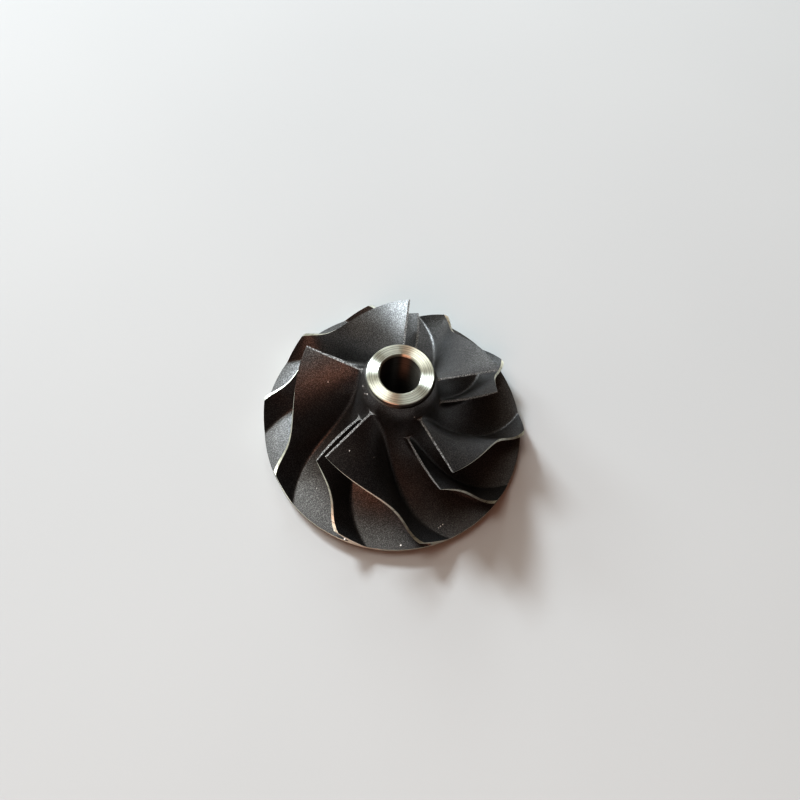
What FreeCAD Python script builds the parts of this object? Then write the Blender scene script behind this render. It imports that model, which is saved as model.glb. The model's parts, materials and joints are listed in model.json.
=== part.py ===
"""Compressor wheel of a small turbocharger: one solid, cast in aluminium and then machined.

The wheel stands on its back boss with the bore along +Z, the nose at the top and the origin on
the bore's axis at the boss's underside.  Lengths are in millimetres and angles in degrees.
Seen from the nose, the blades wrap anticlockwise on their way down and out.
"""
import FreeCAD, Part
import math
import os

# Outline of the wheel
EXDUCER_D = 43.0         # across the rim and the trailing edges
INDUCER_D = 31.0         # across the tips of the full blades' leading edges
HUB_D = 11.8             # hub at the full blades' leading edges
RIM_T = 0.8              # thickness of the backplate at its rim
LE_H = 13.9              # leading edges of the full blades, above the backplate's front
EXIT_H = 3.1             # height of the trailing edges
BOSS_H = 1.5             # the back boss stands this far out of the back
BOSS_D = 15.0            # across the boss
BOSS_CHAMFER = 0.4       # on the boss's outer edge

# Nose and bore
BORE_D = 6.0             # reamed bore for the turbine shaft
BORE_CHAMFER = 0.27      # on both ends of the bore
NOSE_H = 4.0             # from the leading edges up to the nut's face
NOSE_D = 9.86            # turned collar under the nut's face
NOSE_CHAMFER = 0.12      # on the edge of the nut's face
COLLAR_H = 0.9           # height of the turned collar
COLLAR_STEP = 0.22       # the cast hub stands this far out of the collar's foot

# Blades, with straight elements from the hub to the tip
BLADES = 5               # full blades, with as many splitters between them
FIRST_BLADE = 91.6       # place of the first full blade's leading edge
TIP_WRAP = 53.3          # turn of a full blade about the axis, along its tip
HUB_WRAP = 63.2          # the same along the hub
INLET_TIP_ANGLE = 68.1   # blade angle from the axial direction at the leading edge's tip
INLET_HUB_ANGLE = 28.8   # the same at the hub
EXIT_TIP_ANGLE = 50.9    # backsweep from the radial direction at the trailing edge's tip
EXIT_HUB_ANGLE = 47.6    # the same at the hub
SPLITTER_H = 9.7         # leading edges of the splitters, above the backplate's front
SPLITTER_SHIFT = 0.6     # splitters stand this far past the middle between two full blades
TIP_T = 0.37             # blade thickness at the tip
ROOT_T = 1.1             # blade thickness at the hub
ROOT_FILLET = 0.8        # radius of the cast fillets along the roots
EDGE_T_SHARE = 0.25      # thickness at a leading edge, as a share of the full thickness
EDGE_TAPER = 0.07        # share of the blade's way over which it thickens to most of the rest
STATIONS = 13            # cross-sections along a blade, from its leading edge on

# Casting stock, cut off or buried in the finished wheel
TIP_STOCK = 0.8          # blades are cast this far past the tip line, then turned
END_STOCK = 0.05         # and run on past both ends by this share of their way
ROOT_SINK = 0.45         # blades reach this far into the hub
TOE_LIP = 0.02           # height at which a root fillet ends above the hub

RIM_R = EXDUCER_D / 2
TIP_R = INDUCER_D / 2
HUB_R = HUB_D / 2
BORE_R = BORE_D / 2
BOSS_R = BOSS_D / 2
NOSE_R = NOSE_D / 2
COLLAR_FOOT_R = NOSE_R + COLLAR_STEP
FRONT_Z = BOSS_H + RIM_T           # front of the backplate at its rim
LE_Z = FRONT_Z + LE_H
EXIT_Z = FRONT_Z + EXIT_H
SPLITTER_Z = FRONT_Z + SPLITTER_H
NOSE_Z = LE_Z + NOSE_H
COLLAR_Z = NOSE_Z - COLLAR_H
PITCH = 360 / BLADES
PROBE = 0.01             # small step for slopes
AXIS = FreeCAD.Vector(0, 0, 1)
ORIGIN = FreeCAD.Vector(0, 0, 0)


def rz(r, z):
    return FreeCAD.Vector(r, 0, z)


class BladeLine:
    """A blade's line along the hub or the tip: a quarter ellipse in r and z, wound about the axis.

    The ellipse is upright at the leading edges' height and level at the rim.  Its centre is on
    the rim's radius at that height, for the hub and the tip alike.
    """

    def __init__(self, top_r, exit_z, turn, inlet, outlet):
        self.wide = RIM_R - top_r
        self.tall = LE_Z - exit_z
        self.turn = math.radians(turn)
        quarter = math.pi / 2
        self.inlet_rate = math.tan(math.radians(inlet)) * self.tall * quarter / top_r
        self.outlet_rate = math.tan(math.radians(outlet)) * self.wide * quarter / RIM_R

    def arc(self):
        """The quarter ellipse as an edge in the XZ plane."""
        centre = rz(RIM_R, LE_Z)
        side, foot = rz(RIM_R - self.wide, LE_Z), rz(RIM_R, LE_Z - self.tall)
        major, minor = (side, foot) if self.wide > self.tall else (foot, side)
        ellipse = Part.Ellipse(major, minor, centre)
        ends = sorted((ellipse.parameter(side), ellipse.parameter(foot)))
        return Part.ArcOfEllipse(ellipse, *ends).toShape()

    def point(self, share):
        """Point a share of the way from the leading edge's height to the rim."""
        bend = share * math.pi / 2
        r = RIM_R - self.wide * math.cos(bend)
        z = LE_Z - self.tall * math.sin(bend)
        angle = (self.turn * share ** 2 * (3 - 2 * share)
                 + self.inlet_rate * share * (1 - share) ** 2
                 - self.outlet_rate * share ** 2 * (1 - share))
        return FreeCAD.Vector(r * math.cos(angle), r * math.sin(angle), z)

    def share_at(self, z):
        """Share of the way at which the line passes a height."""
        return math.asin((LE_Z - z) / self.tall) / (math.pi / 2)

    def direction(self, share):
        return (self.point(share + PROBE) - self.point(share - PROBE)).normalize()

    def above(self, point):
        """Rough distance of a point out of the surface that the line lies on."""
        out = RIM_R - math.hypot(point.x, point.y)
        up = LE_Z - point.z
        reach = math.hypot(out / self.wide, up / self.tall)
        slope = math.hypot(out / self.wide ** 2, up / self.tall ** 2) / reach
        return (1 - reach) / slope


HUB_LINE = BladeLine(HUB_R, FRONT_Z, HUB_WRAP, INLET_HUB_ANGLE, EXIT_HUB_ANGLE)
TIP_LINE = BladeLine(TIP_R, EXIT_Z, TIP_WRAP, INLET_TIP_ANGLE, EXIT_TIP_ANGLE)


def settle(point, direction, height):
    """Slides a point along a direction until it lies at a height above the hub."""
    for _ in range(6):
        here = HUB_LINE.above(point)
        rate = (HUB_LINE.above(point + direction * PROBE) - here) / PROBE
        point = point + direction * ((height - here) / rate)
    return point


def fillet(toe, corner, seam):
    """Concave blend from the hub's surface to a blade's flank, tangent to both."""
    curve = Part.BezierCurve()
    curve.setPoles([toe, corner, seam])
    return curve.toShape()


def flank_points(root, tip, side, root_half, tip_half):
    """One flank across a blade: a buried end, fillet toe, corner, fillet seam and the cast tip."""
    span = (tip - root).normalize()
    rise = (tip + side * tip_half - root - side * root_half).normalize()
    corner = settle(root + side * root_half, rise, 0)
    level = (settle(corner + side * PROBE, span, 0) - corner).normalize()
    reach = ROOT_FILLET / math.tan(level.getAngle(rise) / 2)
    toe = settle(corner + level * reach, span, TOE_LIP)
    crown = tip + side * tip_half + rise * TIP_STOCK
    return toe - span * ROOT_SINK, toe, corner, corner + rise * reach, crown


def half_thickness(full, past_edge):
    """Half of a blade's thickness at a share of its way past the leading edge."""
    return full / 2 * (1 - (1 - EDGE_T_SHARE) * math.exp(-max(past_edge, 0) / EDGE_TAPER))


def blade_section(share, edge_z):
    """Closed wire across a blade: thin at the tip, flared by fillets where it meets the hub."""
    root, tip = HUB_LINE.point(share), TIP_LINE.point(share)
    flow = HUB_LINE.direction(share) + TIP_LINE.direction(share)
    side = (tip - root).cross(flow).normalize()
    halves = (half_thickness(ROOT_T, share - HUB_LINE.share_at(edge_z)),
              half_thickness(TIP_T, share - TIP_LINE.share_at(edge_z)))
    deep, toe, corner, seam, crown = flank_points(root, tip, side, *halves)
    deep2, toe2, corner2, seam2, crown2 = flank_points(root, tip, -side, *halves)
    return Part.Wire([
        Part.makeLine(deep2, deep), Part.makeLine(deep, toe), fillet(toe, corner, seam),
        Part.makeLine(seam, crown), Part.makeLine(crown, crown2), Part.makeLine(crown2, seam2),
        fillet(seam2, corner2, toe2), Part.makeLine(toe2, deep2)])


def blade(edge_z):
    """Cast blade with its leading edge at a height, and longer than finished at both ends."""
    start = HUB_LINE.share_at(edge_z)
    step = (1 + END_STOCK - start) / (STATIONS - 1)
    shares = [start - END_STOCK] + [start + step * station for station in range(STATIONS)]
    return Part.makeLoft([blade_section(share, edge_z) for share in shares], True, False)


def turned(points, curve, after):
    """Solid of revolution about the bore, with a curve spliced into an outline of points."""
    rim = [Part.makeLine(a, b) for a, b in zip(points, points[1:] + points[:1])]
    rim[after:after + 1] = curve
    return Part.Face(Part.Wire(rim)).revolve(ORIGIN, AXIS, 360)


def hub():
    """The wheel without its blades: back boss, backplate, hub, collar and the bore through them."""
    swell = Part.Arc(rz(HUB_R, LE_Z), rz(*nose_swell()), rz(COLLAR_FOOT_R, COLLAR_Z)).toShape()
    points = [rz(BORE_R, BORE_CHAMFER), rz(BORE_R + BORE_CHAMFER, 0),
              rz(BOSS_R - BOSS_CHAMFER, 0), rz(BOSS_R, BOSS_CHAMFER), rz(BOSS_R, BOSS_H),
              rz(RIM_R, BOSS_H), rz(RIM_R, FRONT_Z), rz(COLLAR_FOOT_R, COLLAR_Z),
              rz(NOSE_R, COLLAR_Z), rz(NOSE_R, NOSE_Z - NOSE_CHAMFER),
              rz(NOSE_R - NOSE_CHAMFER, NOSE_Z), rz(BORE_R + BORE_CHAMFER, NOSE_Z),
              rz(BORE_R, NOSE_Z - BORE_CHAMFER)]
    return turned(points, [HUB_LINE.arc(), swell], points.index(rz(RIM_R, FRONT_Z)))


def nose_swell():
    """Middle of the arc that leaves the hub upright at the leading edges and ends at the collar."""
    rise, fall = COLLAR_Z - LE_Z, HUB_R - COLLAR_FOOT_R
    radius = (rise ** 2 + fall ** 2) / (2 * fall)
    half_turn = math.atan2(fall, rise)
    return HUB_R - radius * (1 - math.cos(half_turn)), LE_Z + radius * math.sin(half_turn)


def shroud():
    """The space that the finished blades sweep, down to the middle of the rim's thickness."""
    floor_z = FRONT_Z - RIM_T / 2
    points = [rz(0, floor_z), rz(RIM_R, floor_z), rz(RIM_R, EXIT_Z), rz(TIP_R, LE_Z), rz(0, LE_Z)]
    return turned(points, [TIP_LINE.arc()], points.index(rz(RIM_R, EXIT_Z)))


def wheel():
    sweep = shroud()
    below_splitters = sweep.common(Part.makeCylinder(EXDUCER_D, SPLITTER_Z))
    full = blade(LE_Z).common(sweep)
    splitter = blade(SPLITTER_Z).common(below_splitters)
    blades = []
    for number in range(BLADES):
        place = FIRST_BLADE + PITCH * number
        for shape, angle in ((full, place), (splitter, place + PITCH / 2 + SPLITTER_SHIFT)):
            copy = shape.copy()
            copy.rotate(ORIGIN, AXIS, angle)
            blades.append(copy)
    return hub().fuse(blades)


os.makedirs("parts", exist_ok=True)
wheel().exportStep("parts/compressor_wheel.step")
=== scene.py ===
import json
import math

import bpy
from mathutils import Matrix, Vector


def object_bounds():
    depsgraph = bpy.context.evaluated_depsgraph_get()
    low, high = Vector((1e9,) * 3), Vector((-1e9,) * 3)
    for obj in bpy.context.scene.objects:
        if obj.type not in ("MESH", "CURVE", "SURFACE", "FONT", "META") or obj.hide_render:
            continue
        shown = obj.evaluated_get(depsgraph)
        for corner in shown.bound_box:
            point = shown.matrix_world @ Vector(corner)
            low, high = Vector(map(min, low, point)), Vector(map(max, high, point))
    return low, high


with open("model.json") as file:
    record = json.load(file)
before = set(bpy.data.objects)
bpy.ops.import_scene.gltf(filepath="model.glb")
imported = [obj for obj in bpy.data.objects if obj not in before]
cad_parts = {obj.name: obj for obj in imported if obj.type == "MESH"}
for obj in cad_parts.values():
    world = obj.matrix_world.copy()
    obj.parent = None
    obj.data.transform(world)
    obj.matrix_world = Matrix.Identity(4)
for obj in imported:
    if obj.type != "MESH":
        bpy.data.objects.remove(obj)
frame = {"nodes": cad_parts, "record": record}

MM = 0.001
CAD_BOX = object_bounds()
WHEEL = frame["nodes"]["compressor_wheel"]
MOUNTS = {mount["name"]: mount for mount in frame["record"]["mounts"]}

# Outline of the wheel
RIM_R = CAD_BOX[1].x
NOSE_Z = CAD_BOX[1].z
BORE_R = MOUNTS["bore"]["dims"]["r_mm"] * MM
BACK_Z = 1.5 * MM            # back of the rim
FRONT_Z = 2.3 * MM           # front of the backplate at the rim
EXIT_Z = FRONT_Z + 3.1 * MM  # top of the trailing edges
INLET_Z = FRONT_Z + 13.9 * MM
SPLITTER_Z = FRONT_Z + 9.7 * MM
INLET_R = 15.5 * MM          # tips of the leading edges
COLLAR_H = 0.9 * MM          # height of the turned collar under the nose
COLLAR_Z = NOSE_Z - COLLAR_H
TOUCH = 0.012 * MM           # a mesh point this near a flat or round surface lies on it
SHROUD_TOUCH = 3 * TOUCH     # the same for the contour of the blade tips
CREASE = 30                  # edges sharper than this, in degrees, stay crisp

# Material slots of the wheel; the third is dark metal that paints shade into the bore and onto the
# collar's side
COAT, BARE, SHADE_PAINTED, WORN = range(4)

# Fineness of each pattern, in features a metre, and depth of its relief
GRAIN_SCALE = 6500
GRAIN_DEPTH = 0.03 * MM
CAST_SCALE = 1500
CAST_DEPTH = 0.02 * MM
CLOUD_SCALE = 170
STAIN_SCALE = 420
CHIP_EDGE_SCALE = 7000
CHIP_EDGE_WIDTH = 0.14 * MM  # band in which the outline of a chip strays
GROOVE_PITCH = 0.05 * MM
GROOVE_DEPTH = 0.004 * MM
SCORE_SHARE = 0.22           # how often a dark score comes, against a groove
FIBRE_SCALE = 900
FIBRE_DEPTH = 0.05 * MM
PAPER_CLOUD_SCALE = 6

# Colours, and what sets the coat's and the chips' shine
COAT_DARK = (0.019, 0.019, 0.020)
COAT_PALE = (0.032, 0.031, 0.030)
COAT_IOR = 1.74
CHIP_METAL = (0.95, 0.94, 0.92)
CHIP_ROUGHNESS = 0.9
CLEAN_METAL = (0.75, 0.77, 0.69)
# Dark metal for the bore and the collar's side: painted shade and dim reflection where they lie in
# shadow
SHADE_PAINTED_METAL = (0.20, 0.195, 0.185)
STAIN_SHARE = 0.82           # what a stain leaves of the metal's colour
SCORE_SHADE = 0.50           # what a score leaves of it
PAPER_DARK = (0.452, 0.466, 0.472)
PAPER_PALE = (0.480, 0.494, 0.498)

PAPER_REACH = 1.2            # from the middle of the sheet to its sides

# Camera: the photograph's angle, from about five rim radii away
CAMERA_ELEVATION = 64.9      # degrees above the paper
CAMERA_ROLL = -8.6           # degrees
CAMERA_DISTANCE = 5.199 * RIM_R
CAMERA_ASIDE = 0.049 * RIM_R
CAMERA_ABOVE = 0.174 * RIM_R
CAMERA_LENS = 29.8           # mm, on a sensor of the width below
SENSOR = 36.0
CLIP_START = 0.005

# Light: a lamp nearly overhead, windows to the left and behind and a reddish wall in front, in a
# dim brown room.  Each is a soft panel turned to the wheel: its place, size, power in watts and
# colour.
DAYLIGHT = (0.91, 1.0, 1.06)
PANELS = {
    "lamp": ((-0.34, 0.14, 1.12), (0.40, 0.40), 3.2, (0.98, 1.0, 0.97)),
    "high_window": ((-0.66, 0.62, 0.73), (0.22, 0.22), 10.6, DAYLIGHT),
    "low_window": ((-0.98, 0.50, 0.54), (0.28, 0.28), 2.5, DAYLIGHT),
    "back_window": ((-0.26, 0.94, 0.52), (0.36, 0.36), 1.7, DAYLIGHT),
    "wall": ((-0.22, -0.84, 0.77), (0.60, 0.56), 2.5, (1.0, 0.46, 0.31)),
}
# Direction of the room's bright side, and the room's tones from the dark side (0) to it (1)
ROOM_BRIGHT_SIDE = (-0.79, 0.42, 0.45)
ROOM_TONES = (
    (0.00, (0.072, 0.038, 0.030)),
    (0.30, (0.056, 0.033, 0.026)),
    (0.50, (0.038, 0.029, 0.023)),
    (0.64, (0.13, 0.092, 0.066)),
    (0.74, (0.26, 0.20, 0.155)),
    (0.86, (0.46, 0.43, 0.37)),
)

# Flecks where the coat is chipped to bare metal: radius, angle and height of each on the wheel,
# and the fleck's own radius, in mm and degrees
CHIPS = (
    (5.5, -159, 18.4, 0.10), (5.5, -154, 18.0, 0.08), (5.4, -143, 18.7, 0.10),
    (5.6, -147, 18.2, 0.07), (10.8, 180, 14.0, 0.12), (12.4, -117, 15.4, 0.11),
    (10.7, -101, 12.8, 0.08), (14.2, -97, 12.2, 0.08), (5.9, -60, 17.1, 0.14),
    (20.8, -79, 2.3, 0.13), (19.1, -58, 2.5, 0.08), (19.2, -59.3, 2.45, 0.09),
    (19.3, -60.6, 2.4, 0.07), (21.3, -103, 2.4, 0.16), (17.2, -128, 2.9, 0.08),
    (9.0, -20, 14.6, 0.07),
)


# ---------------------------------------------------------------- node helpers

class Nodes:
    """A small wrapper to write a node tree in few lines."""

    def __init__(self, tree):
        self.tree = tree
        tree.nodes.clear()

    def add(self, kind, settings=(), **inputs):
        """Node of a kind, with its settings and its inputs by name, an underscore for a space."""
        node = self.tree.nodes.new(kind)
        for key, value in dict(settings).items():
            setattr(node, key, value)
        for key, value in inputs.items():
            self.feed(node.inputs[key.replace("_", " ")], value)
        return node

    def feed(self, socket, value):
        """Links a socket to a value that is a socket too, or else sets it to the value."""
        if isinstance(value, bpy.types.NodeSocket):
            self.tree.links.new(value, socket)
        else:
            socket.default_value = value

    def math(self, operation, *values):
        node = self.tree.nodes.new("ShaderNodeMath")
        node.operation = operation
        for socket, value in zip(node.inputs, values):
            self.feed(socket, value)
        return node.outputs[0]

    def ramp(self, value, *stops):
        """Colour ramp from (position, colour or grey) stops."""
        node = self.tree.nodes.new("ShaderNodeValToRGB")
        elements = node.color_ramp.elements
        while len(elements) < len(stops):
            elements.new(0.5)
        for element, (place, colour) in zip(elements, stops):
            element.position = place
            if isinstance(colour, (int, float)):
                colour = (colour,) * 3
            element.color = (*colour, 1.0)
        self.feed(node.inputs[0], value)
        return node.outputs[0]

    def noise(self, vector, scale, detail=2.0, roughness=0.5):
        node = self.add("ShaderNodeTexNoise", Vector=vector, Scale=scale, Detail=detail,
                        Roughness=roughness)
        return node.outputs["Fac"]

    def mix(self, amount, first, second, blend="MIX"):
        """Colour mix, whose node has its two colours at inputs 6 and 7 and the result at 2."""
        node = self.tree.nodes.new("ShaderNodeMix")
        node.data_type = "RGBA"
        node.blend_type = blend
        self.feed(node.inputs["Factor"], amount)
        for socket, value in ((node.inputs[6], first), (node.inputs[7], second)):
            self.feed(socket, value if isinstance(value, bpy.types.NodeSocket) else (*value, 1.0))
        return node.outputs[2]

    def bump(self, height, strength, distance, normal=None):
        node = self.add("ShaderNodeBump", Height=height, Strength=strength, Distance=distance)
        if normal is not None:
            self.feed(node.inputs["Normal"], normal)
        return node.outputs[0]


def material(name):
    """A new material with its node tree, its shader and the place on the object as a socket."""
    made = bpy.data.materials.new(name)
    made.use_nodes = True
    nodes = Nodes(made.node_tree)
    shader = nodes.add("ShaderNodeBsdfPrincipled")
    output = nodes.add("ShaderNodeOutputMaterial")
    nodes.tree.links.new(shader.outputs[0], output.inputs["Surface"])
    place = nodes.add("ShaderNodeTexCoord").outputs["Object"]
    return made, nodes, shader, place


# ---------------------------------------------------------------- materials

def on_wheel(radius, angle, height):
    """Place on the wheel from a radius and a height in mm and an angle in degrees."""
    turn = math.radians(angle)
    return Vector((radius * math.cos(turn), radius * math.sin(turn), height)) * MM


def chipped(nodes, place):
    """1 inside the chips of the coat, 0 elsewhere, with ragged outlines."""
    ragged = nodes.add("ShaderNodeVectorMath", {"operation": "MULTIPLY_ADD"})
    noise = nodes.add("ShaderNodeTexNoise", Vector=place, Scale=CHIP_EDGE_SCALE, Detail=2.0)
    nodes.feed(ragged.inputs[0], noise.outputs["Color"])
    ragged.inputs[1].default_value = (CHIP_EDGE_WIDTH,) * 3
    nodes.feed(ragged.inputs[2], place)
    centre = Vector((CHIP_EDGE_WIDTH / 2,) * 3)
    mask = 0.0
    for radius, angle, height, size in CHIPS:
        gap = nodes.add("ShaderNodeVectorMath", {"operation": "DISTANCE"})
        nodes.feed(gap.inputs[0], ragged.outputs[0])
        gap.inputs[1].default_value = on_wheel(radius, angle, height) + centre
        inside = nodes.math("LESS_THAN", gap.outputs["Value"], size * MM)
        mask = nodes.math("MAXIMUM", inside, mask)
    return mask


def coated_casting(name, bare_share, bare_tone):
    """Thin dark coat over a cast skin, which shines through as glints, more so where it is worn."""
    made, nodes, shader, place = material(name)
    grain = nodes.noise(place, GRAIN_SCALE, detail=2.0, roughness=0.7)
    cast = nodes.noise(place, CAST_SCALE, detail=4.0, roughness=0.55)
    cloud = nodes.noise(place, CLOUD_SCALE, detail=3.0, roughness=0.5)
    tone = nodes.ramp(cloud, (0.35, COAT_DARK), (0.65, COAT_PALE))
    glint = nodes.ramp(grain, (0.55 - bare_share, 0.0), (0.73 - bare_share, 1.0))
    chips = chipped(nodes, place)
    speckled = nodes.mix(glint, tone, (bare_tone,) * 3)
    nodes.feed(shader.inputs["Base Color"], nodes.mix(chips, speckled, CHIP_METAL))
    nodes.feed(shader.inputs["Metallic"], nodes.math("MAXIMUM", glint, chips))
    nodes.feed(shader.inputs["Specular IOR Level"], nodes.ramp(grain, (0.46, 0.32), (0.60, 1.0)))
    shader.inputs["IOR"].default_value = COAT_IOR
    rough = nodes.ramp(cast, (0.3, 0.33), (0.7, 0.43))
    dull_chips = nodes.math("MULTIPLY", chips, CHIP_ROUGHNESS)
    nodes.feed(shader.inputs["Roughness"], nodes.math("MAXIMUM", rough, dull_chips))
    relief = nodes.bump(cast, strength=0.30, distance=CAST_DEPTH)
    relief = nodes.bump(grain, strength=1.0, distance=GRAIN_DEPTH, normal=relief)
    nodes.feed(shader.inputs["Normal"], relief)
    return made


def turned_metal(name, colour, roughness):
    """Bare aluminium with fine grooves and darker scores round the wheel's axis."""
    made, nodes, shader, place = material(name)
    axes = nodes.add("ShaderNodeSeparateXYZ", Vector=place).outputs
    square = nodes.math("ADD", nodes.math("MULTIPLY", axes[0], axes[0]),
                        nodes.math("MULTIPLY", axes[1], axes[1]))
    radius = nodes.math("SQRT", square)
    along = nodes.math("ADD", radius, axes[2])
    turns = nodes.add("ShaderNodeCombineXYZ", X=nodes.math("DIVIDE", along, GROOVE_PITCH))
    grooves = nodes.noise(turns.outputs[0], 1.0, detail=3.0, roughness=0.7)
    stain = nodes.noise(place, STAIN_SCALE, detail=4.0, roughness=0.6)
    shade = nodes.ramp(stain, (0.3, tuple(c * STAIN_SHARE for c in colour)), (0.7, colour))
    scores = nodes.noise(turns.outputs[0], SCORE_SHARE, detail=2.0, roughness=0.8)
    scores = nodes.ramp(scores, (0.39, SCORE_SHADE), (0.50, 1.0))
    nodes.feed(shader.inputs["Base Color"], nodes.mix(1.0, shade, scores, "MULTIPLY"))
    shader.inputs["Metallic"].default_value = 1.0
    rough = nodes.ramp(grooves, (0.3, roughness * 0.8), (0.7, roughness * 1.25))
    nodes.feed(shader.inputs["Roughness"], rough)
    shader.inputs["Anisotropic"].default_value = 1.0
    shader.inputs["Anisotropic Rotation"].default_value = 0.25
    tangent = nodes.add("ShaderNodeTangent", {"direction_type": "RADIAL", "axis": "Z"})
    nodes.feed(shader.inputs["Tangent"], tangent.outputs[0])
    relief = nodes.bump(grooves, strength=0.3, distance=GROOVE_DEPTH)
    nodes.feed(shader.inputs["Normal"], relief)
    return made


# ---------------------------------------------------------------- the wheel

def on_shroud(point):
    """Whether a point lies on the turned contour that the blade tips follow."""
    out = (RIM_R - math.hypot(point.x, point.y)) / (RIM_R - INLET_R)
    up = (INLET_Z - point.z) / (INLET_Z - EXIT_Z)
    near = SHROUD_TOUCH / (RIM_R - INLET_R)
    return abs(math.hypot(out, up) - 1) < near


def finish_of(points):
    """Material slot that a face takes, from where its corners lie."""
    radii = [math.hypot(p.x, p.y) for p in points]
    heights = [p.z for p in points]
    collar_side = min(heights) > COLLAR_Z - TOUCH and max(heights) < NOSE_Z - TOUCH
    # The bore and the collar's side take the dark metal that paints their shade
    if max(radii) < BORE_R + TOUCH or collar_side:
        return SHADE_PAINTED
    if min(heights) > COLLAR_Z - TOUCH or max(heights) < BACK_Z + TOUCH:
        return BARE
    if min(radii) > RIM_R - TOUCH or all(on_shroud(p) for p in points):
        return BARE
    if any(all(abs(z - level) < TOUCH for z in heights) for level in (INLET_Z, SPLITTER_Z)):
        return WORN
    return COAT


def dress_wheel():
    """Gives the CAD mesh its four finishes, in the order of the material slots."""
    mesh = WHEEL.data
    mesh.materials.clear()
    for finish in (coated_casting("coated_casting", bare_share=0.0, bare_tone=0.20),
                   turned_metal("turned_aluminium", CLEAN_METAL, roughness=0.34),
                   # dark metal: painted shade in the bore and on the collar's side
                   turned_metal("shade_painted_aluminium", SHADE_PAINTED_METAL, roughness=0.5),
                   coated_casting("worn_edges", bare_share=0.12, bare_tone=0.38)):
        mesh.materials.append(finish)
    for face in mesh.polygons:
        face.material_index = finish_of([mesh.vertices[i].co for i in face.vertices])
        face.use_smooth = True
    mesh.set_sharp_from_angle(angle=math.radians(CREASE))


# ---------------------------------------------------------------- paper, light and camera

def paper():
    """Matt white paper, very slightly clouded."""
    made, nodes, shader, place = material("paper")
    cloud = nodes.noise(place, PAPER_CLOUD_SCALE, detail=3.0)
    tone = nodes.ramp(cloud, (0.3, PAPER_DARK), (0.7, PAPER_PALE))
    nodes.feed(shader.inputs["Base Color"], tone)
    shader.inputs["Roughness"].default_value = 0.9
    fibres = nodes.noise(place, FIBRE_SCALE, detail=5.0, roughness=0.65)
    relief = nodes.bump(fibres, strength=0.15, distance=FIBRE_DEPTH)
    nodes.feed(shader.inputs["Normal"], relief)
    return made


def floor():
    """A large flat sheet of paper under the wheel."""
    mesh = bpy.data.meshes.new("paper_floor")
    square = ((-1, -1), (1, -1), (1, 1), (-1, 1))
    corners = [(x * PAPER_REACH, y * PAPER_REACH, 0.0) for x, y in square]
    mesh.from_pydata(corners, [], [(0, 1, 2, 3)])
    mesh.materials.append(paper())
    sheet = bpy.data.objects.new("paper_floor", mesh)
    bpy.context.scene.collection.objects.link(sheet)


def soft_light(name, place, size, power, colour):
    """A rectangular panel of light that faces the wheel."""
    lamp = bpy.data.lights.new(name, "AREA")
    lamp.shape = "RECTANGLE"
    lamp.size, lamp.size_y = size
    lamp.energy = power
    lamp.color = colour
    holder = bpy.data.objects.new(name, lamp)
    holder.location = place
    holder.rotation_euler = (-Vector(place)).to_track_quat("-Z", "Y").to_euler()
    bpy.context.scene.collection.objects.link(holder)


def room():
    """Surroundings, pale on the windows' side and dim reddish brown on the other."""
    world = bpy.data.worlds.new("room")
    world.use_nodes = True
    nodes = Nodes(world.node_tree)
    output = nodes.add("ShaderNodeOutputWorld")
    way = nodes.add("ShaderNodeTexCoord").outputs["Generated"]
    facing = nodes.add("ShaderNodeVectorMath", {"operation": "DOT_PRODUCT"})
    nodes.feed(facing.inputs[0], way)
    facing.inputs[1].default_value = ROOM_BRIGHT_SIDE
    light = nodes.math("MULTIPLY_ADD", facing.outputs["Value"], 0.5, 0.5)
    colour = nodes.ramp(light, *ROOM_TONES)
    shade = nodes.add("ShaderNodeBackground", Color=colour, Strength=1.0)
    nodes.tree.links.new(shade.outputs[0], output.inputs["Surface"])
    bpy.context.scene.world = world


def lights():
    for name, (place, size, power, colour) in PANELS.items():
        soft_light(name, place, size, power, colour)
    room()


def camera():
    """Camera that looks at the rim's centre, then is moved aside and up without turning."""
    tilt, roll = math.radians(CAMERA_ELEVATION), math.radians(CAMERA_ROLL)
    level = Vector((1, 0, 0))
    upright = Vector((0, math.sin(tilt), math.cos(tilt)))
    ahead = Vector((0, math.cos(tilt), -math.sin(tilt)))
    right = level * math.cos(roll) - upright * math.sin(roll)
    up = level * math.sin(roll) + upright * math.cos(roll)
    target = Vector((0, 0, FRONT_Z))
    place = target + right * CAMERA_ASIDE + up * CAMERA_ABOVE - ahead * CAMERA_DISTANCE
    lens = bpy.data.cameras.new("camera")
    lens.sensor_width = SENSOR
    lens.lens = CAMERA_LENS
    lens.clip_start = CLIP_START
    holder = bpy.data.objects.new("camera", lens)
    turn = Matrix((right, up, -ahead)).transposed().to_4x4()
    holder.matrix_world = Matrix.Translation(place) @ turn
    bpy.context.scene.collection.objects.link(holder)
    bpy.context.scene.camera = holder


dress_wheel()
floor()
lights()
camera()
bpy.context.scene.view_settings.view_transform = "Standard"
bpy.context.scene.view_settings.look = "High Contrast"
